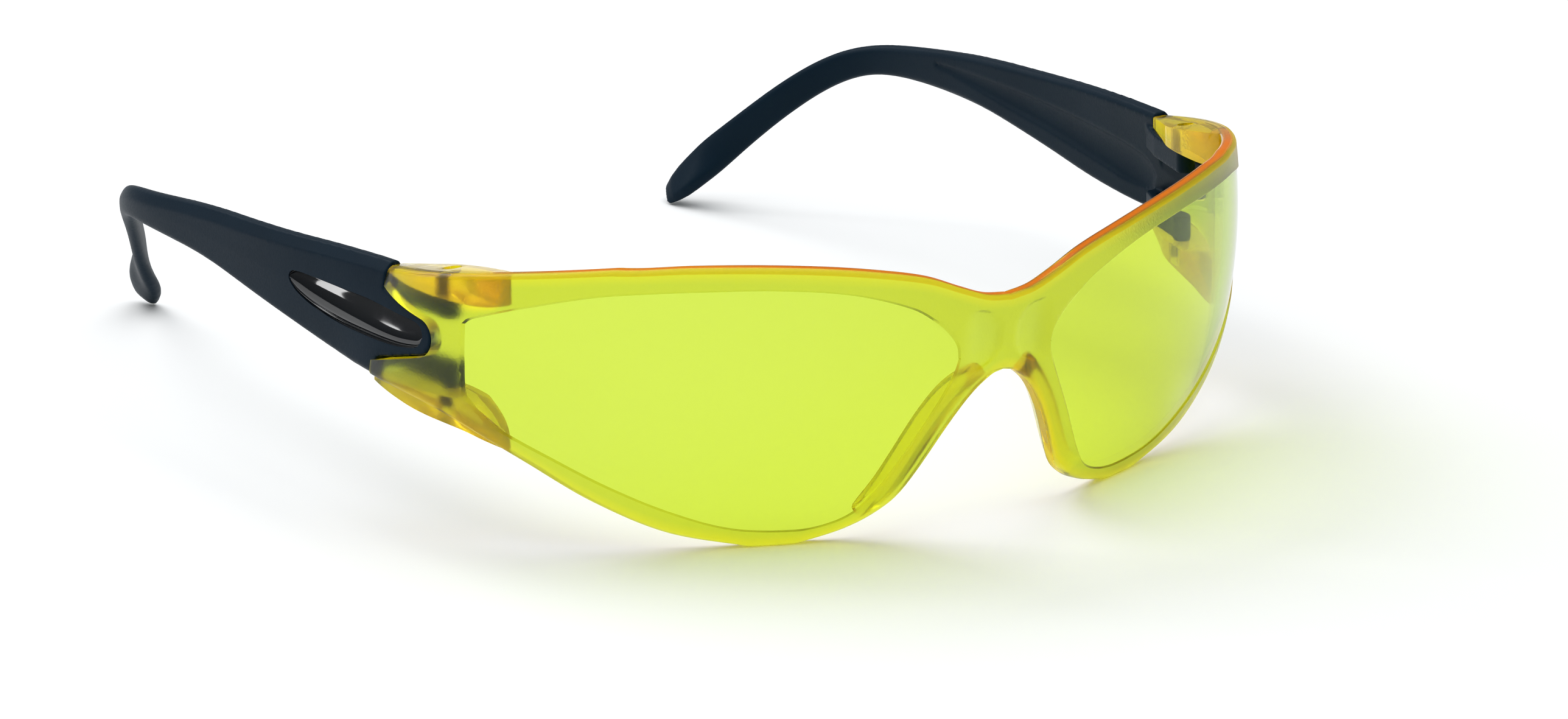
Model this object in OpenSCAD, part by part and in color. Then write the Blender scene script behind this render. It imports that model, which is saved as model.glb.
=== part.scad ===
// Wrap-around safety glasses: a one-piece tinted shield and two temples that snap into it.
// X points to the wearer's left, Y backwards and Z up. The glasses stand on the lower
// edges of the shield and on the tips of the temples at Z = 0, and the origin is in the
// middle of that footprint. Every profile below is drawn about the hinge line and the
// middle of the nose, and placed() moves it to the origin.

/* [Shield] */
// Overall width of the shield
shield_w = 146.5; // [145.5:0.1:147.5]
// Radius of the wrap at the nose, seen from above
wrap_r = 60.4; // [60:0.1:60.8]
// Growth of the wrap radius towards the hinges, per squared radian
wrap_open = 7.5; // [7.3:0.1:7.7]
// Radius of the crown, up and down the shield
crown_r = 98; // [95:1:102]
// Forward lean of the shield, for each millimetre of height
shield_lean = 0.375; // [0.37:0.005:0.38]
// Wall thickness of the shield
shell_t = 2.4; // [2.2:0.1:2.6]
// Extra thickness along the brow
brow_t = 0.7; // [0:0.1:1]
// Depth of the nose flanges behind the front surface
flange_depth = 5; // [4:0.1:5.5]

/* [Hinge] */
// Distance of each hinge axis from the middle
hinge_x = 65; // [64.8:0.1:65.2]
// Diameter of the moulded stubs that each temple turns on
stub_d = 2.5; // [2:0.1:2.6]
// Gap round each stub, on the radius
stub_gap = 0.05; // [0.02:0.01:0.1]
// Gap between the temple and the shield all round
fit_gap = 0.35; // [0.3:0.05:0.4]
// Radius of the knuckle round each stub
knuckle_r = 2.6; // [2.4:0.1:2.7]

/* [Temple] */
// Thickness of each temple
temple_t = 3.2; // [3:0.1:3.4]
// Distance of the hook's tip behind the hinge
tip_y = 124.5; // [122:0.5:126]
// Distance of the hook's tip from the middle
tip_x = 48; // [46:0.5:50]

/* [Hidden] */

footprint_y = -37.1;   // where the hinge line lies, from the middle of the footprint
far_out = 200;         // size of the blocks that cut whole sides away

// Shield surface
wrap_y = 15;           // centre of the wrap, behind the hinge line
wrap_close = 0.52;     // how the wrap closes again far round
crown_z = 12.6;        // height at which the crown stands out furthest
tuck_from = 78;        // angle from which the side tucks in towards the temple
tuck = 0.014;          // inward tuck, per squared degree
wrap_end = 99;         // the surface runs a little past the hinge end, and is cut there
shell_rows = 9;        // points up each face of the shield

// Lower and upper edge of the shield: [degrees round from the nose, height]
lower_edge = [
    [0, 26], [2, 25.4], [5, 22.6], [8, 17.8], [13, 7.6], [16, 4.4], [20, 2.1], [25, 0.5],
    [30, -0.6], [35, 0.4], [45, 2.9], [55, 7.8], [65, 13.9], [75, 19.1], [80, 21],
    [86, 22.1], [100, 22.8],
];
upper_edge = [
    [0, 38.2], [4, 38.8], [8, 40.3], [14, 42.7], [21, 44.3], [30, 45.6], [40, 46.3],
    [50, 46.2], [60, 45.4], [100, 45.4],
];
// Flange depth along the nose: [degrees round from the nose, share of flange_depth]
flange_share = [[2, 0.5], [6, 0.95], [10, 1], [14, 0.8], [17, 0.5]];

// Hinge end of the shield
rear_y = 11.2;         // rear face of both lugs
lug_top_z = 40.6;      // height of the upper lug's top at the hinge line
lug_top_fall = 9.6;    // fall of that top towards the back, in degrees
upper_lug_z = 36.9;    // underside of the upper lug
lower_lug_z = 22.4;    // top of the lower lug
lower_lug_foot_z = 19; // underside of the lower lug at the hinge line
lower_lug_rise = 13;   // rise of that underside towards the back, in degrees
stub_reach = 2.5;      // how far each stub reaches into its lug
notch_c = [0.1, 30.8]; // centre of the notch's round nose, [y, z]
notch_r = 3;           // its radius
notch_up = 10;         // slope of the notch's upper wall, in degrees
notch_down = -15;      // slope of its lower wall

// Temple: [distance behind the hinge, height] of its edges ahead of the hook
temple_front_y = rear_y + fit_gap;
hook_from_y = 66;
temple_top = [[11, 39.4], [25, 38.4], [45, 36.6], [66, 34.8]];
temple_bottom = [[11, 21.9], [20, 22.2], [32, 23.2], [45, 24.8], [66, 27.4]];
// Distance of its middle from the middle of the glasses, and its twist in degrees
temple_mid_x = [[11, 69.7], [25, 69.9], [45, 70.4], [66, 70.1]];
temple_twist = [[11, 10], [25, 4], [38, 0], [66, 0]];
// Hook: height of the blade along it, from its start (0) to its tip (1)
hook_height = [[0, 7.4], [0.17, 5.4], [0.35, 4.6], [0.5, 4.6], [0.75, 5.6], [0.9, 6.4], [1, 3.4]];
hook_path = [[70.1, hook_from_y, 31.1], [70.1, 101, 27.4], [64.7, 95.8, 31.8], [tip_x, tip_y, 1.2]];

// ---- Curves through a few points ----
function span(t, x, i = 0) = i >= len(t) - 2 || x <= t[i + 1][0] ? i : span(t, x, i + 1);
function slope(t, i) =
    let (a = max(i - 1, 0), b = min(i + 1, len(t) - 1))
    (t[b][1] - t[a][1]) / (t[b][0] - t[a][0]);
function curve(t, x) =
    let (i = span(t, x), h = t[i + 1][0] - t[i][0], s = (x - t[i][0]) / h)
    t[i][1] * (1 + 2 * s) * pow(1 - s, 2) + t[i + 1][1] * s * s * (3 - 2 * s)
    + slope(t, i) * h * s * pow(1 - s, 2) - slope(t, i + 1) * h * s * s * (1 - s);
function mix(a, b, s) = a + (b - a) * s;
function bezier(p, s) =
    pow(1 - s, 3) * p[0] + 3 * s * pow(1 - s, 2) * p[1] + 3 * s * s * (1 - s) * p[2] + pow(s, 3) * p[3];
function unit(v) = v / norm(v);

// Closed solid through rings that all have the same number of points
module loft(rings) {
    n = len(rings[0]);
    last = len(rings) - 1;
    points = [for (ring = rings) for (p = ring) p];
    sides = [
        for (i = [0:last - 1]) for (j = [0:n - 1])
            let (a = i * n + j, b = i * n + (j + 1) % n)
            for (face = [[a, b, b + n], [a, b + n, a + n]]) face
    ];
    polyhedron(points, concat([[for (j = [n - 1:-1:0]) j]], sides, [[for (j = [0:n - 1]) last * n + j]]));
}

module placed() {
    translate([0, footprint_y, 0]) children();
}

module both_sides() {
    for (side = [0, 1]) mirror([side, 0, 0]) children();
}

// Profile drawn as [y, z] and pushed along X
module across(from_x, to_x) {
    translate([from_x, 0, 0])
        rotate([90, 0, 90])
            linear_extrude(to_x - from_x) children();
}

// ---- Shield ----
function wrap_radius(phi) =
    let (a = abs(phi) * PI / 180, past = max(0, abs(phi) - tuck_from))
    wrap_r + wrap_open * a * a - wrap_close * pow(a, 4) - tuck * past * past;
function shell_point(phi, z, depth) =
    let (r = wrap_radius(phi) - pow(z - crown_z, 2) / (2 * crown_r) - depth)
    [r * sin(phi), wrap_y - r * cos(phi) - (z - crown_z) * shield_lean, z];
function low(phi) = max(0, curve(lower_edge, abs(phi)));
function high(phi) = curve(upper_edge, abs(phi));
function wall(phi, z) = shell_t + brow_t * pow(max(0, 1 - (high(phi) - z) / 6), 2);
function shell_ring(phi) =
    let (zs = [for (k = [0:shell_rows - 1]) mix(low(phi), high(phi), k / (shell_rows - 1))])
    concat(
        [for (z = zs) shell_point(phi, z, 0)],
        [for (k = [shell_rows - 1:-1:0]) shell_point(phi, zs[k], wall(phi, zs[k]))]
    );

module shell() {
    angles = concat(
        [for (a = [-wrap_end:3:-24]) a],
        [for (a = [-22.5:1.5:22.5]) a],
        [for (a = [24:3:wrap_end]) a]
    );
    loft([for (a = angles) shell_ring(a)]);
}

// Fin that stands back from the nose edge on the wearer's left
module nose_flange() {
    fin_t = 2;      // degrees of wrap that the fin covers
    rise = 2.2;     // how far its upper side is above the edge
    start = 0.8;    // depth at which it leaves the wall
    function back(phi) = flange_depth * curve(flange_share, phi) * [0.2, 1, 0.12];
    loft([for (phi = [2:1.5:17])
        let (
            edge = shell_point(phi, low(phi) + 0.1, start),
            inside = shell_point(phi + fin_t, low(phi) + rise, start)
        )
        [inside, inside + back(phi) * 0.9, edge + back(phi), edge]
    ]);
}

// Notch at the hinge end that takes the temple's tongue, drawn as [y, z]
module notch_profile(inset) {
    r = notch_r - inset;
    reach = 30;
    up = notch_c + r * [-sin(notch_up), cos(notch_up)];
    down = notch_c - r * [-sin(notch_down), cos(notch_down)];
    translate(notch_c) circle(r, $fn = 48);
    polygon([
        up,
        notch_c - [0.001, 0],
        down,
        down + reach * [cos(notch_down), sin(notch_down)],
        up + reach * [cos(notch_up), sin(notch_up)],
    ]);
}

module lug_plan(outer) {
    polygon(concat(
        [[hinge_x + 1.6, rear_y], [hinge_x - 0.4, 5.5], [hinge_x - 2.2, 1.5], [hinge_x - 2.5, -4]],
        outer
    ));
}

module upper_lug() {
    translate([0, 0, upper_lug_z])
        linear_extrude(8)
            lug_plan([[62.5, -11], [62, -15.5], [65.5, -10.5], [69.2, -1], [69, 6], [68.2, rear_y]]);
}

module lower_lug() {
    difference() {
        translate([0, 0, lower_lug_z - 8])
            linear_extrude(8)
                lug_plan([[62.6, -9], [63.6, -12.5], [66, -9.5], [70.2, -1], [71.6, 6], [71.4, rear_y]]);
        translate([0, 0, lower_lug_foot_z])
            rotate([lower_lug_rise, 0, 0])
                translate([0, -far_out / 2, -far_out])
                    cube(far_out);
    }
}

module lug_bores() {
    translate([hinge_x, 0, 0]) cylinder(h = 60, r = stub_d / 2 + stub_gap, $fn = 48);
}

// The moulding before its stub bores are drilled, brought to its stated width as one mesh
module moulding() {
    resize([shield_w, 0, 0])
        difference() {
            union() {
                shell();
                both_sides() {
                    nose_flange();
                    upper_lug();
                    lower_lug();
                }
            }
            // Sloping top of the brow and of the upper lugs
            translate([-far_out / 2, 0, lug_top_z])
                rotate([-lug_top_fall, 0, 0])
                    translate([0, -far_out / 2, 0])
                        cube(far_out);
            // Rear face
            translate([-far_out / 2, rear_y, -far_out / 2]) cube(far_out);
            both_sides() across(hinge_x + 0.5, hinge_x + 15) notch_profile(0);
        }
}

module front_shield() {
    color([0.86, 0.9, 0.12])
        placed()
            difference() {
                moulding();
                both_sides() lug_bores();
            }
}

// ---- Temples, drawn on the wearer's left ----
// Blade section about its own middle: [thickness direction, height direction]
function blade_profile(t, h) =
    let (bevel = min(1.1, t / 3), edge = min(0.7, h / 5))
    [
        [t / 2, -h / 2 + edge], [t / 2 + 0.1, 0], [t / 2, h / 2 - 1.6 * bevel],
        [t / 2 - bevel, h / 2], [-t / 2 + edge, h / 2], [-t / 2, h / 2 - edge],
        [-t / 2, -h / 2 + edge], [-t / 2 + edge, -h / 2], [t / 2 - edge, -h / 2],
    ];
// The same section at a place, where side and up are its two directions
function blade_ring(at, side, up, t, h) = [for (p = blade_profile(t, h)) at + p[0] * side + p[1] * up];

function straight_ring(y) =
    let (
        top = curve(temple_top, y),
        bottom = curve(temple_bottom, y),
        a = curve(temple_twist, y)
    )
    blade_ring(
        [curve(temple_mid_x, y), y, (top + bottom) / 2],
        [cos(a), 0, sin(a)], [-sin(a), 0, cos(a)], temple_t, top - bottom
    );
function hook_ring(s) =
    let (
        step = 0.01,
        along = unit(bezier(hook_path, min(s + step, 1)) - bezier(hook_path, max(s - step, 0))),
        up = unit(cross([1, 0, 0], along)),
        side = cross(along, up),
        thin = s > 0.94 ? 1 - 8 * (s - 0.94) : 1
    )
    blade_ring(bezier(hook_path, s), side, up, temple_t * thin, curve(hook_height, s));

module blade() {
    loft(concat(
        [for (y = [temple_front_y, 14, 18, 22, 26, 31, 36, 42, 48, 54, 60]) straight_ring(y)],
        [for (s = [0:0.04:1]) hook_ring(s)]
    ));
}

// Rounded tongue that lies in the shield's notch, flush with its outer surface
module tongue() {
    intersection() {
        across(hinge_x, hinge_x + 12) notch_profile(fit_gap);
        translate([0, 0, 20])
            linear_extrude(25)
                polygon([[68.2, -4], [70.6, -4], [71, 0], [71.7, 6], [71.6, 15], [68.4, 15], [68.2, 8]]);
    }
}

module knuckle(from_z, to_z) {
    root_y = temple_front_y + 0.2;
    translate([0, 0, from_z])
        linear_extrude(to_z - from_z) {
            translate([hinge_x, 0]) circle(knuckle_r, $fn = 48);
            polygon([
                [hinge_x + knuckle_r, 0], [hinge_x + 2.3, root_y], [hinge_x + 5, root_y],
                [hinge_x + 5, 16], [hinge_x + 2, 16], [hinge_x + 0.2, 9], [hinge_x - knuckle_r + 0.8, 1.7],
            ]);
        }
}

module stub(from_z, to_z) {
    translate([hinge_x, 0, from_z]) cylinder(h = to_z - from_z, r = stub_d / 2, $fn = 48);
}

module temple() {
    knuckle_t = 3.6;
    slack = 0.2;    // end float between each knuckle and its lug
    blade();
    tongue();
    knuckle(upper_lug_z - slack - knuckle_t, upper_lug_z - slack);
    knuckle(lower_lug_z + slack, lower_lug_z + slack + knuckle_t);
    stub(upper_lug_z - 1, upper_lug_z + stub_reach);
    stub(lower_lug_z - stub_reach, lower_lug_z + 1);
}

module temple_left() {
    color([0.1, 0.12, 0.16]) placed() temple();
}

module temple_right() {
    color([0.1, 0.12, 0.16]) placed() mirror([1, 0, 0]) temple();
}

front_shield();
temple_right();
temple_left();
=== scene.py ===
"""Safety glasses: the tinted shield and the two black temples, built in mesh code round the CAD.

Shapes are worked out in millimetres about the hinge line (X to the wearer's left, Y backwards,
Z up) and moved to the CAD frame by finished(). Only MM and HINGE_Y know about that frame.
"""

import math

import bmesh
import bpy
import numpy as np
from mathutils import Matrix, Vector


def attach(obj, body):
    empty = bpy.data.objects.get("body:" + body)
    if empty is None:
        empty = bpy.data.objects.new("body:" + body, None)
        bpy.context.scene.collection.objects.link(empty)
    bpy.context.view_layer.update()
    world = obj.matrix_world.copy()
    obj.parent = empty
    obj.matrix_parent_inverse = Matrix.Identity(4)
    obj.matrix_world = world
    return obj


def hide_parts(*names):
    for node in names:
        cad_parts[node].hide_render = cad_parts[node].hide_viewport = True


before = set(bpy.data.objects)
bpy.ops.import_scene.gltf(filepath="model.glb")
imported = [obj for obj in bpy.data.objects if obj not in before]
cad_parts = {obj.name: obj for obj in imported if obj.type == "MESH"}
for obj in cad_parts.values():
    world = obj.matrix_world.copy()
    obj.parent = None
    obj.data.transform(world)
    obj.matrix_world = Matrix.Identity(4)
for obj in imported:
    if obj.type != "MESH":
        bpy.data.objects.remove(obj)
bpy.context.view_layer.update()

MM = 0.001
HINGE_Y = -37.1          # the hinge line's place in the CAD frame

# ---- Shield, as in the CAD source ----
WRAP_R, WRAP_OPEN, WRAP_CLOSE = 60.4, 7.5, 0.52
WRAP_Y = 15
CROWN_R, CROWN_Z = 98, 12.6
LEAN = 0.375
TUCK, TUCK_FROM = 0.014, 78
WRAP_END = 99
SHELL_T = 2.4
SECTION_STEP, SECTION_ROWS = 0.6, 54     # degrees between the shell's sections, points up each face
FRONT_R, BACK_R = 0.8, 0.5               # roundings of the shell's front and back edges
LOWER_EDGE = [
    (0, 26), (2, 25.4), (5, 22.6), (8, 17.8), (13, 7.6), (16, 4.4), (20, 2.1), (25, 0.5),
    (30, -0.6), (35, 0.4), (45, 2.9), (55, 7.8), (65, 13.9), (75, 19.1), (80, 21),
    (86, 22.1), (100, 22.8),
]
UPPER_EDGE = [
    (0, 38.2), (4, 38.8), (8, 40.3), (14, 42.7), (21, 44.3), (30, 45.6), (40, 46.27),
    (50, 46.2), (60, 45.4), (100, 45.4),
]
# Polished window in each half: (degrees round, height) of its upper and lower edge
WINDOW_TOP = [
    (7.6, 29.2), (8.0, 31.2), (9.2, 33.2), (11.6, 35.6), (16.2, 38.6), (25.9, 41.7), (37, 43),
    (47.8, 42.9), (57, 42.1), (63, 41), (71.2, 38.3), (76.5, 36), (77.5, 35.3), (77.8, 34.6),
]
WINDOW_FOOT = [
    (7.6, 29.2), (7.9, 27.2), (8.8, 24.8), (10.2, 21.6), (12.6, 16.6), (14.8, 12), (17, 8),
    (19.6, 4.7), (23.5, 2.9), (27.9, 2.4), (36.4, 3.3), (44.8, 6.3), (53.2, 10.3), (61.6, 14.8),
    (67.7, 17.9), (70.3, 19.4), (73.6, 22.4), (74.7, 23.8), (76.1, 28.6), (77.4, 33.2), (77.8, 34.6),
]
WINDOW_STEP = 0.25       # how far the window lies below the frosted rim
WINDOW_SLOPE = 0.3       # width of the sloping step round it
# Dish beside the bridge: its middle and half size (degrees round, height), depth, and inner end
DISH_AT, DISH_HALF, DISH_DEPTH, DISH_END = (5.2, 31.7), (3.9, 4.9), 0.65, 7.5
FLANGE_DEPTH = 5
FLANGE_SHARE = [(1, 0.1), (3, 0.6), (6, 0.95), (10, 1), (14, 0.8), (17, 0.4), (18.5, 0.08)]

# ---- Hinge end ----
HINGE_X = 65
STUB_R, BORE_R, STUB_REACH = 1.25, 1.3, 2.5
KNUCKLE_R, KNUCKLE_T, SLACK = 1.5, 3.6, 0.2
REAR_Y, GAP = 11.2, 0.35
TOP_Z, TOP_FALL = 40.6, math.radians(9.6)
UPPER_LUG_Z, LOWER_LUG_Z = 36.9, 22.4
NOTCH_C, NOTCH_R = (0.1, 30.8), 3
NOTCH_UP, NOTCH_DOWN = math.radians(10), math.radians(-15)
# Lugs: (distance behind the hinge, inner face's distance from the middle, underside, top)
UPPER_LUG = [
    (-13.6, 62.9, 38.2, 44), (-13.1, 62.3, 37.8, 44), (-9.6, 62, 37, 43.5), (-4, 62, 36.9, 43),
    (1.5, 62.7, 36.9, 42), (5.5, 64.3, 36.9, 41), (9, 65.7, 36.9, 40), (14, 67.6, 36.9, 39),
]
LOWER_LUG = [
    (-12.3, 62.6, 15.2, 15.7), (-11.7, 62.2, 15.4, 17.2), (-10.6, 62, 15.8, 18.9),
    (-9, 62, 16.4, 20.3), (-7, 62, 17.2, 21.4), (-5, 62, 17.8, 22.1), (1.5, 62.7, 19.3, 22.4),
    (5.5, 64.3, 20.3, 22.4), (9, 65.7, 21.1, 22.4), (14, 67.6, 22.2, 22.4),
]

# ---- Temple ----
TEMPLE_T = 3.2
HOOK_Y = 66
TEMPLE_TOP = [(-6, 40.2), (11, 39.4), (25, 38.4), (45, 36.6), (66, 34.8)]
TEMPLE_FOOT = [(-6, 20.9), (11, 21.9), (20, 22.2), (32, 23.2), (45, 24.8), (66, 27.4)]
TEMPLE_MID_X = [(-6, 68.6), (0, 69.2), (11, 69.7), (25, 69.9), (45, 70.4), (66, 70.1)]
TEMPLE_TWIST = [(-6, 10), (11, 10), (25, 4), (38, 0), (66, 0)]
# Along the hook, from its start (0) to the tip (1): height, thickness, turn about its own line
HOOK_HEIGHT = [
    (0, 7.4), (0.17, 5.6), (0.35, 4.8), (0.5, 4.7), (0.7, 4.9), (0.85, 5.3), (0.93, 6.2),
    (0.97, 6.2), (1, 4.4),
]
HOOK_T = [(0, 3.2), (0.3, 3.05), (0.6, 2.5), (0.75, 2.15), (0.88, 2.2), (0.95, 2.6), (1, 2.6)]
HOOK_TWIST = [
    (0, 0), (0.3, 4), (0.5, 12), (0.7, 22), (0.84, 22), (0.9, 4), (0.95, -20), (1, -26),
]
HOOK_PATH = [(70.1, 66, 31.1), (70.1, 101, 27.4), (64.7, 95.8, 31.8), (48, 124.1, 1.06)]
# Recesses: (distance behind the hinge, height of the middle, half height, depth)
LEAF = [
    (-0.6, 30.9, 0.3, 0.1), (0.2, 30.8, 1.4, 0.6), (2, 30.7, 2, 1), (6.3, 30.4, 2.4, 1.3),
    (14.3, 30.3, 2.75, 1.45), (22.8, 30.1, 2.7, 1.4), (30, 30.3, 2.3, 1.15), (34.3, 30.7, 1.7, 0.8),
    (36.2, 31, 1, 0.5), (36.8, 31, 0.3, 0.1),
]
# Depth across the leaf, from its lower edge to its upper one: (place, share of the depth)
LEAF_PROFILE = [
    (-1, 0), (-0.96, 0.3), (-0.9, 0.42), (-0.78, 0.24), (-0.6, 0.13), (-0.2, 0.22),
    (0.3, 0.52), (0.75, 0.9), (0.94, 1), (1, 0),
]
CHANNEL = [
    (13.5, 28.5, 0.4, 0.1), (15, 28.4, 2.2, 0.5), (20, 28.6, 3.2, 0.8), (30, 29.4, 2.9, 0.8),
    (45, 30.2, 2.2, 0.7), (60, 30.8, 1.5, 0.5), (70, 31.2, 0.8, 0.25), (76, 31.2, 0.3, 0.05),
]
TEMPLE_VOXEL, TEMPLE_SOFTENING = 0.24, 7
HOOK_SECTIONS = 66
JOIN_REACH, JOIN_PASSES = 16, 60         # sections and passes that even out the hook's start
TONGUE_REACH = 11.7                      # from the round of the notch to the front edge of the blade

# ---- Camera ----
CAMERA_TARGET = Vector((-7.586, HINGE_Y, 15.989)) * MM
CAMERA_RIGHT = Vector((0.84738, -0.53082, -0.01284))
CAMERA_UP = Vector((0.17124, 0.25032, 0.95290))
CAMERA_FORWARD = Vector((0.50261, 0.80967, -0.30301))
CAMERA_DISTANCE = 2.0524
CAMERA_LENS = 313.3

# ---- Finish of the shield's faces ----
FRONT_FACING = 0.35      # a face belongs to the front if it looks outwards by more than this
# Share of scattered light, by where a face is
VEIL_EDGE, VEIL_UNDERSIDE, VEIL_LUG = 0.12, 0.5, 0.35
VEIL_FLANGE, VEIL_FLANGE_TOP, VEIL_BROW = 0.12, 0.85, 0.6

# ---- Colours, linear ----
WHITE = (1, 1, 1, 1)
WINDOW_TINT = (0.44, 0.77, 0.25, 1)
RIM_TINT = (0.36, 0.58, 0.08, 1)
# Painted golden glow for the rim's edges and over the lugs
PAINTED_GLOW_GOLD = (0.86, 0.86, 0.01, 1)
# Painted amber glow of the brow's top edge, standing in for light run out through its thickness
PAINTED_GLOW_AMBER = (0.62, 0.12, 0.002, 1), (0.72, 0.2, 0.003, 1)
SCATTERED = (0.96, 0.76, 0.04, 1)
DYE, DYE_DENSITY = (1.0, 0.965, 0.0, 1), 900.0
MATTE_BLACK = (0.003, 0.01, 0.019, 1), (0.005, 0.015, 0.027, 1)
MATTE_SHEEN = (0.72, 0.88, 1, 1)
POLISHED_BLACK = (0.001, 0.002, 0.003, 1), (0.002, 0.003, 0.005, 1)
FLOOR = (0.90, 0.90, 0.90, 1), (0.92, 0.92, 0.92, 1)
SKY = (0.93, 0.97, 1, 1)


# ---- Curves ----
def curve(table, x):
    """Smooth curve through the table's points, with the same slopes as the CAD source."""
    xs, ys = np.array(table, float).T
    x = np.asarray(x, float)
    last = len(xs) - 1
    i = np.clip(np.searchsorted(xs, x, side="left") - 1, 0, last - 1)
    before, after = np.maximum(np.arange(last + 1) - 1, 0), np.minimum(np.arange(last + 1) + 1, last)
    slopes = (ys[after] - ys[before]) / (xs[after] - xs[before])
    h = xs[i + 1] - xs[i]
    s = (x - xs[i]) / h
    return (
        ys[i] * (1 + 2 * s) * (1 - s) ** 2
        + ys[i + 1] * s * s * (3 - 2 * s)
        + slopes[i] * h * s * (1 - s) ** 2
        - slopes[i + 1] * h * s * s * (1 - s)
    )


def bezier(points, s):
    a, b, c, d = (np.array(p, float) for p in points)
    return (1 - s) ** 3 * a + 3 * s * (1 - s) ** 2 * b + 3 * s * s * (1 - s) * c + s**3 * d


def rounded(outline, soft, steps=6):
    """The closed outline with more points, and its corners rounded by that share."""
    points = [np.array(p, float) for p in outline]
    smooth = []
    for i, here in enumerate(points):
        before = (points[i - 1] + here) / 2
        after = (here + points[(i + 1) % len(points)]) / 2
        for k in range(steps):
            t = k / steps
            sharp = before + (here - before) * min(1, 2 * t) + (after - here) * max(0, 2 * t - 1)
            round_corner = (1 - t) ** 2 * before + 2 * t * (1 - t) * here + t * t * after
            smooth.append(sharp + (round_corner - sharp) * soft)
    return smooth


# ---- Meshes ----
def solid(name, points, faces):
    """Closed mesh object in millimetres, with its normals outwards."""
    mesh = bpy.data.meshes.new(name)
    mesh.from_pydata([tuple(p) for p in points], [], faces)
    obj = bpy.data.objects.new(name, mesh)
    bpy.context.scene.collection.objects.link(obj)
    edit = bmesh.new()
    edit.from_mesh(mesh)
    bmesh.ops.recalc_face_normals(edit, faces=edit.faces)
    edit.to_mesh(mesh)
    edit.free()
    return obj


def loft(name, rings):
    """Closed solid through rings that all have the same number of points."""
    n, last = len(rings[0]), len(rings) - 1
    faces = [
        (i * n + j, i * n + (j + 1) % n, (i + 1) * n + (j + 1) % n, (i + 1) * n + j)
        for i in range(last)
        for j in range(n)
    ]
    faces += [tuple(range(n - 1, -1, -1)), tuple(last * n + j for j in range(n))]
    return solid(name, [p for ring in rings for p in ring], faces)


def prism(name, outline, bottom, top):
    """Solid between two heights. outline is [(x, y)]."""
    return loft(name, [[(x, y, z) for x, y in outline] for z in (bottom, top)])


def across(name, outline, from_x, to_x):
    """Solid along X. outline is [(y, z)]."""
    return loft(name, [[(x, y, z) for y, z in outline] for x in (from_x, to_x)])


def evaluated(obj):
    """Bakes the object's modifiers into its mesh."""
    graph = bpy.context.evaluated_depsgraph_get()
    mesh = bpy.data.meshes.new_from_object(obj.evaluated_get(graph))
    obj.modifiers.clear()
    obj.data = mesh


def combine(base, others, operation):
    """Joins the others to base, or cuts them from it, and removes them."""
    for other in others:
        step = base.modifiers.new("combine", "BOOLEAN")
        step.operation = operation
        step.solver = "MANIFOLD"
        step.object = other
        evaluated(base)
        bpy.data.objects.remove(other)
    return base


def mirrored(obj, name):
    """A copy on the other side of the middle."""
    copy = bpy.data.objects.new(name, obj.data.copy())
    bpy.context.scene.collection.objects.link(copy)
    copy.data.transform(Matrix.Scale(-1, 4, (1, 0, 0)))
    copy.data.flip_normals()
    return copy


def readings(items, name):
    """A vector of each vertex or face, as rows."""
    flat = np.zeros(len(items) * 3, np.float32)
    items.foreach_get(name, flat)
    return flat.reshape(-1, 3).astype(float)


def mark(mesh, name, values, domain):
    layer = mesh.attributes.new(name, "FLOAT", domain)
    layer.data.foreach_set("value", np.asarray(values, np.float32))


def finished(obj, sharp_angle):
    """Shades the mesh smooth up to that angle and moves it to the CAD frame."""
    obj.data.shade_smooth()
    obj.data.set_sharp_from_angle(angle=math.radians(sharp_angle))
    obj.data.transform(Matrix.Scale(MM, 4) @ Matrix.Translation((0, HINGE_Y, 0)))
    return obj


# ---- Shield ----
def wrap_radius(phi):
    a = np.radians(np.abs(phi))
    past = np.maximum(0, np.abs(phi) - TUCK_FROM)
    return WRAP_R + WRAP_OPEN * a**2 - WRAP_CLOSE * a**4 - TUCK * past**2


def shell_point(phi, z, depth):
    r = wrap_radius(phi) - (z - CROWN_Z) ** 2 / (2 * CROWN_R) - depth
    turn = np.radians(phi)
    return np.array([r * np.sin(turn), WRAP_Y - r * np.cos(turn) - (z - CROWN_Z) * LEAN, z])


def shell_place(points):
    """Degrees round, height and depth below the front surface of each point."""
    x, y, z = points.T
    ahead = WRAP_Y - y - (z - CROWN_Z) * LEAN
    phi = np.degrees(np.arctan2(x, ahead))
    depth = wrap_radius(phi) - (z - CROWN_Z) ** 2 / (2 * CROWN_R) - np.hypot(x, ahead)
    return phi, z, depth


def low(phi):
    return np.maximum(0, curve(LOWER_EDGE, abs(phi)))


def high(phi):
    """Top of the shell: the brow's curve, or the sloping top of the hinge end below it."""
    top = float(curve(UPPER_EDGE, abs(phi)))
    z = top
    for _ in range(8):
        z = TOP_Z - math.tan(TOP_FALL) * shell_point(phi, z, 0)[1]
    return min(top, z)


def tops_at(phi):
    """high() for many places, read from a fine table."""
    grid = np.linspace(0, 98, 393)
    return np.interp(abs(phi), grid, [high(p) for p in grid])


def dish(phi, z):
    """Depth of the shallow round dishes beside the bridge."""
    around = (min(abs(phi), DISH_AT[0]) - DISH_AT[0]) / DISH_HALF[0]
    reach = around**2 + ((z - DISH_AT[1]) / DISH_HALF[1]) ** 2
    merge = min(1, max(0, (DISH_END - abs(phi)) / (DISH_END - DISH_AT[0])))
    return DISH_DEPTH * merge * max(0, 1 - reach) ** 0.4


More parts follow.
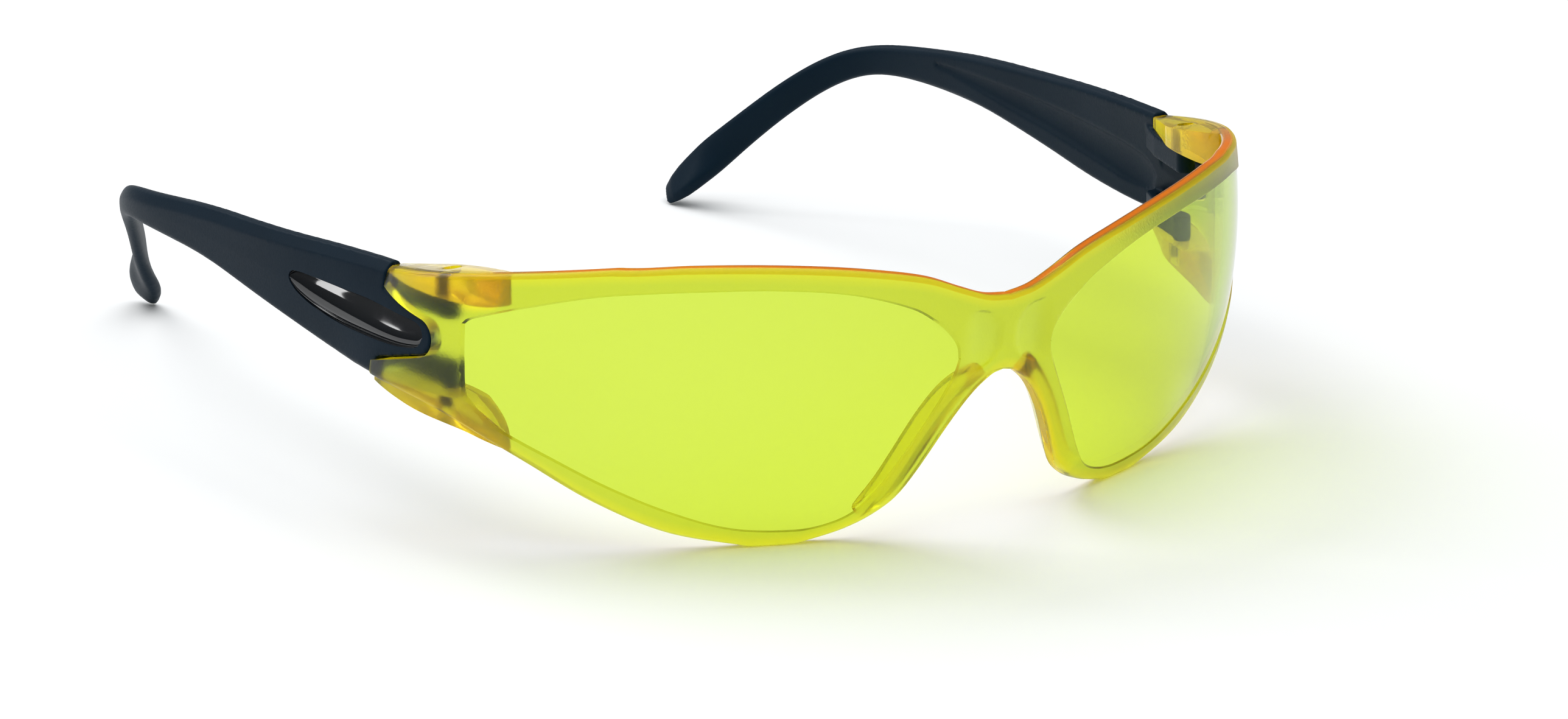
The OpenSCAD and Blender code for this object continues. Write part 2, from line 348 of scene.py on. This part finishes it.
def shell_ring(phi):
    """Section of the shell: up its front, round the top edge, down its back."""
    foot, top = float(low(phi)), high(phi)
    corner = [math.radians(a) for a in (0, 22, 45, 68, 90)]
    ring = [(foot + FRONT_R * (1 - math.cos(a)), FRONT_R * (1 - math.sin(a))) for a in corner]
    front = np.linspace(foot + FRONT_R, top - FRONT_R, SECTION_ROWS)[1:-1]
    ring += [(z, dish(phi, z)) for z in front]
    ring += [(top - FRONT_R * (1 - math.sin(a)), FRONT_R * (1 - math.cos(a))) for a in corner]
    ring += [(top, depth) for depth in np.linspace(FRONT_R, SHELL_T - BACK_R, 6)[1:-1]]
    ring += [(top - BACK_R * (1 - math.cos(a)), SHELL_T - BACK_R * (1 - math.sin(a))) for a in corner]
    back = np.linspace(top - BACK_R, foot + BACK_R, SECTION_ROWS)[1:-1]
    ring += [(z, SHELL_T) for z in back]
    ring += [(foot + BACK_R * (1 - math.sin(a)), SHELL_T - BACK_R * (1 - math.cos(a))) for a in corner]
    return [shell_point(phi, z, depth) for z, depth in ring]


def flange():
    """Rounded fin that stands back from the nose edge, on the wearer's left."""
    rings = []
    for phi in np.arange(1, 18.6, 0.35):
        edge = shell_point(phi, low(phi) + 0.1, 0.8)
        inside = shell_point(phi + 2, low(phi) + 2.2, 0.8)
        back = FLANGE_DEPTH * curve(FLANGE_SHARE, phi) * np.array([0.2, 1, 0.12])
        ring = [inside, inside + back * 0.45, inside + back * 0.8]
        ring += [
            inside + back * (0.9 + 0.1 * s) + (edge - inside) * s - back * 0.14 * (2 * s - 1) ** 4
            for s in (0.04, 0.15, 0.3, 0.5, 0.7, 0.85, 0.96)
        ]
        ring += [edge + back * 0.85, edge + back * 0.45, edge]
        rings.append(ring)
    return loft("flange", rings)


def window_cutter():
    """What the polished window loses from the frosted front, on the wearer's left."""
    start, end, columns, rows = WINDOW_TOP[0][0], WINDOW_TOP[-1][0], 150, 56
    middle = (start + end) / 2
    rings = []
    for k in range(columns + 1):
        phi = middle - (end - start) / 2 * math.cos(math.pi * k / columns)
        foot, top = float(curve(WINDOW_FOOT, phi)), float(curve(WINDOW_TOP, phi))
        top = max(top, foot + 0.03)
        zs = np.linspace(foot, top, rows)
        inner_phi = middle + (phi - middle) * (1 - WINDOW_SLOPE / 37)
        inset = min(WINDOW_SLOPE, (top - foot) / 2.1)
        inner_zs = np.linspace(top - inset, foot + inset, rows)
        rings.append(
            [shell_point(phi, z, -1) for z in zs]
            + [shell_point(phi, top, -0.02)]
            + [shell_point(inner_phi, z, WINDOW_STEP) for z in inner_zs]
            + [shell_point(phi, foot, -0.02)]
        )
    return loft("window", rings)


def notch_outline(inset, reach=30):
    """Outline of the notch, or of the tongue that lies in it, as [(y, z)]."""
    r = NOTCH_R - inset
    cy, cz = NOTCH_C
    start, end = math.pi / 2 + NOTCH_UP, 3 * math.pi / 2 + NOTCH_DOWN
    arc = [start + (end - start) * k / 32 for k in range(33)]
    nose = [(cy + r * math.cos(a), cz + r * math.sin(a)) for a in arc]
    up = (nose[0][0] + reach * math.cos(NOTCH_UP), nose[0][1] + reach * math.sin(NOTCH_UP))
    down = (nose[-1][0] + reach * math.cos(NOTCH_DOWN), nose[-1][1] + reach * math.sin(NOTCH_DOWN))
    return [up, *nose, down]


def circle(cx, cy, r, steps=40):
    return [
        (cx + r * math.cos(2 * math.pi * k / steps), cy + r * math.sin(2 * math.pi * k / steps))
        for k in range(steps)
    ]


def block(name, low_corner, high_corner):
    (x0, y0, z0), (x1, y1, z1) = low_corner, high_corner
    return prism(name, [(x0, y0), (x1, y0), (x1, y1), (x0, y1)], z0, z1)


def wall_x(y, z, depth):
    """How far from the middle the shell's wall is, that far behind the hinge line."""
    near, far = 40.0, 98.0
    for _ in range(24):
        phi = (near + far) / 2
        if shell_point(phi, z, depth)[1] < y:
            near = phi
        else:
            far = phi
    return shell_point(near, z, depth)[0]


def lug(name, stations):
    """Lug behind the wall, as sections from its front to behind the rear face."""
    corner = 0.35
    rings = []
    for y in np.arange(stations[0][0], stations[-1][0], 0.4):
        inner, foot, top = (float(curve([(p[0], p[k]) for p in stations], y)) for k in (1, 2, 3))
        top = min(top, TOP_Z - math.tan(TOP_FALL) * y)
        soft = min(corner, (top - foot) / 3)
        in_wall = [(wall_x(y, z, 1.0), z) for z in (foot, (foot + top) / 2, top)]
        inside = [(inner + soft, top), (inner + 0.1 * soft, top - 0.3 * soft), (inner, top - soft)]
        inside += [(inner, foot + soft), (inner + 0.1 * soft, foot + 0.3 * soft), (inner + soft, foot)]
        rings.append([(x, y, z) for x, z in in_wall + inside])
    return loft(name, rings)


def both_sides(left):
    return [left, mirrored(left, left.name + "_mirrored")]


def shield():
    turns = np.arange(-WRAP_END, WRAP_END + 0.1, SECTION_STEP)
    obj = loft("shield_moulding", [shell_ring(a) for a in turns])
    added = both_sides(flange())
    added += both_sides(lug("upper_lug", UPPER_LUG))
    added += both_sides(lug("lower_lug", LOWER_LUG))
    combine(obj, added, "UNION")
    cut = both_sides(window_cutter())
    cut += both_sides(across("notch", notch_outline(0), HINGE_X + 0.5, HINGE_X + 15))
    cut += both_sides(prism("bore", circle(HINGE_X, 0, BORE_R), 0, 60))
    cut.append(block("rear", (-100, REAR_Y, -50), (100, 100, 100)))
    combine(obj, cut, "DIFFERENCE")
    mark_shield(obj.data)
    return finished(obj, 32)


def outwards(phi, z):
    """Which way the shell's front looks at those places."""
    turn = np.radians(phi)
    rise = (z - CROWN_Z) / CROWN_R - np.cos(turn) * LEAN
    ways = np.stack([np.sin(turn), -np.cos(turn), rise], 1)
    return ways / np.linalg.norm(ways, axis=1)[:, None]


def in_window(place, facing):
    """Faces on the polished floor of the windows."""
    phi, z, depth = place
    near = np.clip(abs(phi), WINDOW_TOP[0][0], WINDOW_TOP[-1][0])
    floor = (np.abs(depth - WINDOW_STEP) < 0.02) & (facing > 0.97) & (near == abs(phi))
    return floor & (z < curve(WINDOW_TOP, near)) & (z > curve(WINDOW_FOOT, near))


def core_glow(place, normals):
    """How much painted amber glow each face gets: the middle of the brow's top edge, fading towards
    the hinges.
    """
    phi, z, depth = place
    on_top = (normals[:, 2] > 0.7) & (z > tops_at(phi) - 0.5) & (depth < 3)
    fade = np.clip((80 - abs(phi)) / 14, 0, 1)
    core = np.clip(1.5 - abs(depth - 1.25) / 0.6, 0, 1)
    return on_top * fade * core


def veiled(place, normals, facing):
    """How milky each face is, from light that leaves the moulding at its edges."""
    phi, z, depth = place
    side_on = abs(facing) <= FRONT_FACING
    behind = depth > SHELL_T + 0.05
    veil = VEIL_EDGE * side_on
    veil[side_on & (normals[:, 2] < -0.5)] = VEIL_UNDERSIDE
    veil[behind] = VEIL_LUG
    veil[behind & (abs(phi) < 30)] = VEIL_FLANGE
    veil[behind & (abs(phi) < 5)] = VEIL_FLANGE_TOP
    veil[(z > tops_at(phi) - 0.9) & (depth < 0.85) & (abs(phi) < 82)] = VEIL_BROW
    return veil


def lug_edge(stations, column, y):
    """Height of a lug's underside (column 2) or top (3), that far behind the hinge."""
    near = np.clip(y, stations[0][0], stations[-1][0] - 0.1)
    return curve([(p[0], p[column]) for p in stations], near)


def painted_golden_glow(points):
    """How much painted golden glow the front gets: over the lugs and along the rim's edges, where
    light runs through the thick plastic.
    """
    phi, z, _ = shell_place(points)
    y = points[:, 1]
    edge = np.clip(1 - np.minimum(tops_at(phi) - z, z - low(phi)) / 2.2, 0, 1)
    over_upper = np.clip((z - lug_edge(UPPER_LUG, 2, y)) / 1.2 + 0.5, 0, 1)
    over_upper *= np.clip((y + 14.2) / 0.8, 0, 1)
    over_lower = np.clip((lug_edge(LOWER_LUG, 3, y) - 2 - z) / 1.6 + 0.5, 0, 1)
    over_lower *= np.clip((y + 13) / 1.2, 0, 1)
    return np.maximum(edge * 0.55, np.maximum(over_upper, over_lower) * (abs(phi) > 45))


def mark_shield(mesh):
    """Stores what the shield's material needs to know of each face and vertex."""
    place = shell_place(readings(mesh.polygons, "center"))
    normals = readings(mesh.polygons, "normal")
    facing = (normals * outwards(*place[:2])).sum(1)
    front = facing > FRONT_FACING
    # painted amber glow of each face
    glow = core_glow(place, normals)
    mark(mesh, "front", front, "FACE")
    mark(mesh, "frost", front & ~in_window(place, facing), "FACE")
    mark(mesh, "glow", glow, "FACE")
    mark(mesh, "veil", veiled(place, normals, facing) * (1 - glow), "FACE")
    # painted golden glow at each vertex
    mark(mesh, "painted_gold_glow", painted_golden_glow(readings(mesh.vertices, "co")), "POINT")


# ---- Temples ----
def blade_section(t, h, soft):
    """Outline of the blade about its middle: (thickness direction, height direction)."""
    bevel, edge = min(1.1, t / 3), min(0.7, h / 5)
    outline = [
        (t / 2, -h / 2 + edge), (t / 2 + 0.1, 0), (t / 2, h / 2 - 1.6 * bevel),
        (t / 2 - bevel, h / 2), (-t / 2 + edge, h / 2), (-t / 2, h / 2 - edge),
        (-t / 2, -h / 2 + edge), (-t / 2 + edge, -h / 2), (t / 2 - edge, -h / 2),
    ]
    return rounded(outline, soft)


def blade_ring(at, side, up, t, h, soft):
    return [at + p * side + q * up for p, q in blade_section(t, h, soft)]


def temple_stations():
    """Rows of middle, height and thickness along the temple, evened at the hook's start, and turns."""
    ys = np.arange(-5, HOOK_Y, 1.0)
    top, foot = curve(TEMPLE_TOP, ys), curve(TEMPLE_FOOT, ys)
    thick = np.full(len(ys), TEMPLE_T)
    straight = np.stack([curve(TEMPLE_MID_X, ys), ys, (top + foot) / 2, top - foot, thick], 1)
    shares = np.linspace(0, 1, HOOK_SECTIONS)
    sizes = [(float(curve(HOOK_HEIGHT, s)), float(curve(HOOK_T, s))) for s in shares]
    hook = [[*bezier(HOOK_PATH, s), *size] for s, size in zip(shares, sizes)]
    rows = np.concatenate([straight, hook])
    near_join = np.exp(-(((np.arange(len(rows)) - len(straight)) / JOIN_REACH) ** 2))[:, None]
    for _ in range(JOIN_PASSES):
        even = rows.copy()
        even[1:-1] = (rows[:-2] + 2 * rows[1:-1] + rows[2:]) / 4
        rows += near_join * (even - rows)
    turns = [float(curve(TEMPLE_TWIST, y)) for y in ys]
    turns += [float(curve(HOOK_TWIST, s)) for s in shares]
    return rows, np.radians(turns)


def temple_rings():
    rows, turns = temple_stations()
    along = np.gradient(rows[:, :3], axis=0)
    rings = []
    for k, (at, turn) in enumerate(zip(rows, turns)):
        way = along[k] / np.linalg.norm(along[k])
        up = np.cross((1, 0, 0), way)
        up /= np.linalg.norm(up)
        side = np.cross(way, up)
        to_tip = (len(rows) - 1 - k) / 5  # the last five sections close to a rounded tip
        thin = 1 if to_tip > 1 else 0.45 + 0.55 * math.sqrt(1 - (1 - to_tip) ** 2)
        turned_side = side * math.cos(turn) + up * math.sin(turn)
        turned_up = up * math.cos(turn) - side * math.sin(turn)
        soft = min(1, max(0, (at[1] - HOOK_Y) / 25))
        rings.append(blade_ring(at[:3], turned_side, turned_up, at[4] * thin, at[3], soft))
    return rings


def face_x(y, z, way):
    """Where the temple's outer (way 1) or inner (way -1) face lies."""
    a = np.radians(curve(TEMPLE_TWIST, y))
    middle = (curve(TEMPLE_TOP, y) + curve(TEMPLE_FOOT, y)) / 2
    return curve(TEMPLE_MID_X, y) + way * TEMPLE_T / 2 / np.cos(a) - np.tan(a) * (z - middle)


def scoop(name, stations, way, domed):
    """Cutter for a long recess in the temple's outer or inner face, with a domed or round bottom."""
    table = np.array(stations, float)
    ys = np.linspace(table[0, 0], table[-1, 0], 90)
    rings = []
    for y in ys:
        middle, half, depth = (float(curve(table[:, [0, k]], y)) for k in (1, 2, 3))
        ring = []
        for s in np.sin(np.linspace(-math.pi / 2, math.pi / 2, 41)):
            z = middle + s * half
            share = float(curve(LEAF_PROFILE, s)) if domed else (1 - s**2) ** 0.7
            ring.append((float(face_x(y, z, way)) - way * depth * share, y, z))
        ring += [(face_x(y, z, way) + way * 3, y, z) for z in (middle + half, middle - half)]
        rings.append(ring)
    return loft(name, rings)


def knuckle(name, from_z):
    root_y = REAR_Y + GAP + 0.2
    x = HINGE_X
    arm = [
        (x + KNUCKLE_R, 0), (x + 2.3, root_y), (x + 5, root_y), (x + 5, 14), (x + 2, 14),
        (x + 0.2, 9), (x - KNUCKLE_R + 0.1, 0.6),
    ]
    barrel = prism(name, circle(x, 0, KNUCKLE_R), from_z, from_z + KNUCKLE_T)
    return combine(barrel, [prism("arm", arm, from_z, from_z + KNUCKLE_T)], "UNION")


def temple():
    obj = loft("temple_left_moulding", temple_rings())
    front_y = REAR_Y + GAP
    # Everything ahead of the front edge goes, but for the tongue
    outline = notch_outline(GAP, TONGUE_REACH)
    nose = len(outline) // 2
    over = [(-20, 60), (-20, NOTCH_C[1])] + outline[nose::-1] + [(front_y, 60)]
    under = [(-20, NOTCH_C[1]), (-20, 0), (front_y, 0)] + outline[nose:][::-1]
    combine(obj, [across("over", over, 60, 80), across("under", under, 60, 80)], "DIFFERENCE")
    inside = block("inside", (60, -20, 0), (68.2, front_y, 60))
    combine(obj, [inside, scoop("channel", CHANNEL, -1, False)], "DIFFERENCE")
    upper = UPPER_LUG_Z - SLACK - KNUCKLE_T
    lower = LOWER_LUG_Z + SLACK
    parts = [
        knuckle("upper_knuckle", upper),
        knuckle("lower_knuckle", lower),
        prism("upper_stub", circle(HINGE_X, 0, STUB_R), UPPER_LUG_Z - 1, UPPER_LUG_Z + STUB_REACH),
        prism("lower_stub", circle(HINGE_X, 0, STUB_R), LOWER_LUG_Z - STUB_REACH, LOWER_LUG_Z + 1),
    ]
    combine(obj, parts, "UNION")
    moulded(obj)
    return combine(obj, [scoop("leaf", LEAF, 1, True)], "DIFFERENCE")


def moulded(obj):
    """Remeshes the temple evenly and softens its edges, as a moulding has them."""
    remesh = obj.modifiers.new("remesh", "REMESH")
    remesh.mode = "VOXEL"
    remesh.voxel_size = TEMPLE_VOXEL
    soften = obj.modifiers.new("soften", "SMOOTH")
    soften.factor, soften.iterations = 0.5, TEMPLE_SOFTENING
    evaluated(obj)


def polish_leaf(mesh, outer):
    """Gives the outer recess the second material. outer is 1 on the left and -1 on the right."""
    centres = readings(mesh.polygons, "center")
    table = np.array(LEAF, float)
    y = np.clip(centres[:, 1], table[0, 0], table[-1, 0])
    middle, half = (np.interp(y, table[:, 0], table[:, k]) for k in (1, 2))
    below = face_x(y, centres[:, 2], 1) - outer * centres[:, 0]
    inside = (np.abs(centres[:, 2] - middle) < half + 0.1) & (np.abs(y - centres[:, 1]) < 0.01)
    polished = inside & (below > 0.04) & (below < 2)
    mesh.polygons.foreach_set("material_index", polished.astype(np.int32))


# ---- Materials ----
class Nodes:
    """Short way to write the node tree of a material or a world."""

    def __init__(self, owner, output="ShaderNodeOutputMaterial"):
        self.owner = owner
        owner.use_nodes = True
        self.tree = owner.node_tree
        self.tree.nodes.clear()
        self.output = self.add(output)

    def add(self, kind, **inputs):
        node = self.tree.nodes.new(kind)
        for key, value in inputs.items():
            self.put(node, key.replace("_", " "), value)
        return node

    def put(self, node, socket, value):
        target = node.inputs[socket]
        if isinstance(value, bpy.types.NodeSocket):
            self.tree.links.new(value, target)
        else:
            target.default_value = value

    def shader(self, socket):
        self.tree.links.new(socket, self.output.inputs["Surface"])

    def attribute(self, name):
        node = self.add("ShaderNodeAttribute")
        node.attribute_name = name
        return node.outputs["Fac"]

    def place(self):
        return self.add("ShaderNodeTexCoord").outputs["Object"]

    def noise(self, scale, detail):
        node = self.add("ShaderNodeTexNoise", Scale=scale, Detail=detail, Vector=self.place())
        return node.outputs["Fac"]

    def spread(self, value, low, high):
        """Maps 0..1 to low..high."""
        node = self.add("ShaderNodeMapRange", Value=value)
        self.put(node, "To Min", low)
        self.put(node, "To Max", high)
        return node.outputs["Result"]

    def maths(self, operation, a, b, kind="ShaderNodeMath"):
        node = self.add(kind)
        node.operation = operation
        self.put(node, 0, a)
        self.put(node, 1, b)
        return node

    def colours(self, share, a, b):
        node = self.add("ShaderNodeMix")
        node.data_type = "RGBA"
        self.put(node, 0, share)
        self.put(node, 6, a)
        self.put(node, 7, b)
        return node.outputs[2]

    def mixed(self, share, a, b):
        """Mix of two shader nodes."""
        node = self.add("ShaderNodeMixShader", Fac=share)
        self.tree.links.new(a.outputs[0], node.inputs[1])
        self.tree.links.new(b.outputs[0], node.inputs[2])
        return node

    def bump(self, height, strength, distance):
        node = self.add("ShaderNodeBump", Height=height, Strength=strength, Distance=distance)
        return node.outputs["Normal"]


def material_nodes(name):
    return Nodes(bpy.data.materials.new(name))


def tinted_plastic():
    """Dyed polycarbonate: polished in the windows, frosted round them, with painted amber and golden
    glow at the edges and over the lugs.
    """
    n = material_nodes("tinted_polycarbonate")
    frost, glow, front = (n.attribute(name) for name in ("frost", "glow", "front"))
    veil, painted_gold_glow = n.attribute("veil"), n.attribute("painted_gold_glow")
    grain = n.noise(2400, 4)
    rough = n.maths("MULTIPLY", frost, n.spread(grain, 0.26, 0.4)).outputs[0]
    height = n.maths("MULTIPLY", frost, grain).outputs[0]

    clear = n.add("ShaderNodeBsdfPrincipled", IOR=1.4, Transmission_Weight=1.0)
    # the frosted film turns to a painted golden glow near the rim's edges and over the lugs
    film = n.colours(frost, WINDOW_TINT, n.colours(painted_gold_glow, RIM_TINT, PAINTED_GLOW_GOLD))
    n.put(clear, "Base Color", n.colours(front, WHITE, film))
    n.put(clear, "Roughness", n.maths("MAXIMUM", rough, 0.02).outputs[0])
    n.put(clear, "Normal", n.bump(height, 0.5, 0.00007))

    outer = n.add("ShaderNodeBsdfDiffuse", Color=SCATTERED)
    inner = n.add("ShaderNodeBsdfTranslucent", Color=SCATTERED)
    body = n.mixed(veil, clear, n.mixed(0.6, outer, inner))

    # painted amber glow on the brow's top edge
    painted_glow_shader = n.add("ShaderNodeBsdfPrincipled", IOR=1.5, Roughness=0.5, Specular_IOR_Level=0.05)
    n.put(painted_glow_shader, "Base Color", n.colours(grain, *PAINTED_GLOW_AMBER))
    n.shader(n.mixed(n.maths("MULTIPLY", glow, 0.95).outputs[0], body, painted_glow_shader).outputs[0])
    dye = n.add("ShaderNodeVolumeAbsorption", Color=DYE, Density=DYE_DENSITY)
    n.tree.links.new(dye.outputs[0], n.output.inputs["Volume"])
    return n.owner


def black_plastic():
    """Blue-black moulding with a fine matte texture."""
    n = material_nodes("matte_black_plastic")
    grain, cloud = n.noise(2600, 2), n.noise(90, 3)
    plastic = n.add("ShaderNodeBsdfPrincipled", IOR=1.5, Specular_IOR_Level=0.06)
    n.put(plastic, "Specular Tint", MATTE_SHEEN)
    n.put(plastic, "Base Color", n.colours(cloud, *MATTE_BLACK))
    n.put(plastic, "Roughness", n.spread(grain, 0.34, 0.5))
    n.put(plastic, "Normal", n.bump(grain, 0.35, 0.00003))
    n.shader(plastic.outputs[0])
    return n.owner


def polished_plastic():
    """The same plastic, polished, in the outer recess."""
    n = material_nodes("polished_black_plastic")
    wear = n.noise(400, 3)
    plastic = n.add("ShaderNodeBsdfPrincipled", IOR=1.5, Specular_IOR_Level=0.5)
    n.put(plastic, "Base Color", n.colours(wear, *POLISHED_BLACK))
    n.put(plastic, "Roughness", n.spread(wear, 0.03, 0.07))
    n.shader(plastic.outputs[0])
    return n.owner


def floor_material():
    n = material_nodes("pale_floor")
    surface = n.add("ShaderNodeBsdfPrincipled", Roughness=0.7, Specular_IOR_Level=0.2)
    n.put(surface, "Base Color", n.colours(n.noise(3, 2), *FLOOR))
    n.shader(surface.outputs[0])
    return n.owner


# ---- Stage ----
def make_camera():
    data = bpy.data.cameras.new("camera")
    data.sensor_width = 36
    data.lens = CAMERA_LENS
    data.clip_start, data.clip_end = 0.05, 50
    obj = bpy.data.objects.new("camera", data)
    bpy.context.scene.collection.objects.link(obj)
    turn = Matrix((CAMERA_RIGHT, CAMERA_UP, -CAMERA_FORWARD)).transposed().to_4x4()
    place = CAMERA_TARGET - CAMERA_FORWARD * CAMERA_DISTANCE
    obj.matrix_world = Matrix.Translation(place) @ turn
    bpy.context.scene.camera = obj


def softbox(name, place, size, power):
    """Rectangular light that looks at the glasses."""
    data = bpy.data.lights.new(name, "AREA")
    data.shape = "RECTANGLE"
    data.size, data.size_y = size
    data.energy = power
    obj = bpy.data.objects.new(name, data)
    bpy.context.scene.collection.objects.link(obj)
    aim = (-Vector(place)).to_track_quat("-Z", "Y")
    obj.matrix_world = Matrix.Translation(place) @ aim.to_matrix().to_4x4()


def studio_world():
    """Dim in front, brighter behind and overhead, and pale where it is seen or shines through."""
    n = Nodes(bpy.data.worlds.new("studio"), "ShaderNodeOutputWorld")
    way = n.add("ShaderNodeTexCoord").outputs["Generated"]
    rise = n.add("ShaderNodeSeparateXYZ", Vector=way).outputs["Z"]
    to_rear = n.maths("DOT_PRODUCT", way, (0.53, 0.85, 0), "ShaderNodeVectorMath").outputs["Value"]
    rear = n.add("ShaderNodeMapRange", Value=to_rear, From_Min=0.55, From_Max=0.95, To_Max=0.32)
    lit = n.maths("MAXIMUM", n.spread(rise, 0.12, 0.7), rear.outputs["Result"]).outputs[0]
    ray = n.add("ShaderNodeLightPath").outputs
    seen = n.maths("MAXIMUM", ray["Is Camera Ray"], ray["Is Transmission Ray"]).outputs[0]
    strength = n.add("ShaderNodeMix")
    for socket, value in ((0, seen), (2, lit), (3, 1.1)):
        n.put(strength, socket, value)
    n.shader(n.add("ShaderNodeBackground", Color=SKY, Strength=strength.outputs[0]).outputs[0])
    return n.owner


def make_studio():
    scene = bpy.context.scene
    scene.view_settings.view_transform = "Standard"
    scene.world = studio_world()
    softbox("key", (-0.35, 1.1, 1.2), (1.1, 0.8), 11)
    softbox("overhead", (0, -0.1, 1.6), (1.8, 1.8), 15)
    softbox("strip", (-1.2, 1.45, 0.66), (0.2, 0.5), 3)
    floor = solid("floor", [(-4, -4, 0), (4, -4, 0), (4, 4, 0), (-4, 4, 0)], [(0, 1, 2, 3)])
    floor.location.z = -0.00003
    floor.data.materials.append(floor_material())


def dress(obj, *materials):
    obj.data.materials.clear()
    for material in materials:
        obj.data.materials.append(material)


def main():
    make_camera()
    make_studio()
    front = shield()
    dress(front, tinted_plastic())
    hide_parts("front_shield")
    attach(front, "shield")

    left = temple()
    right = mirrored(left, "temple_right_moulding")
    matte, polished = black_plastic(), polished_plastic()
    for obj, side, outer in ((left, "left", 1), (right, "right", -1)):
        dress(obj, matte, polished)
        polish_leaf(obj.data, outer)
        finished(obj, 60)
        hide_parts(f"temple_{side}")
        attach(obj, f"{side}_temple")


main()
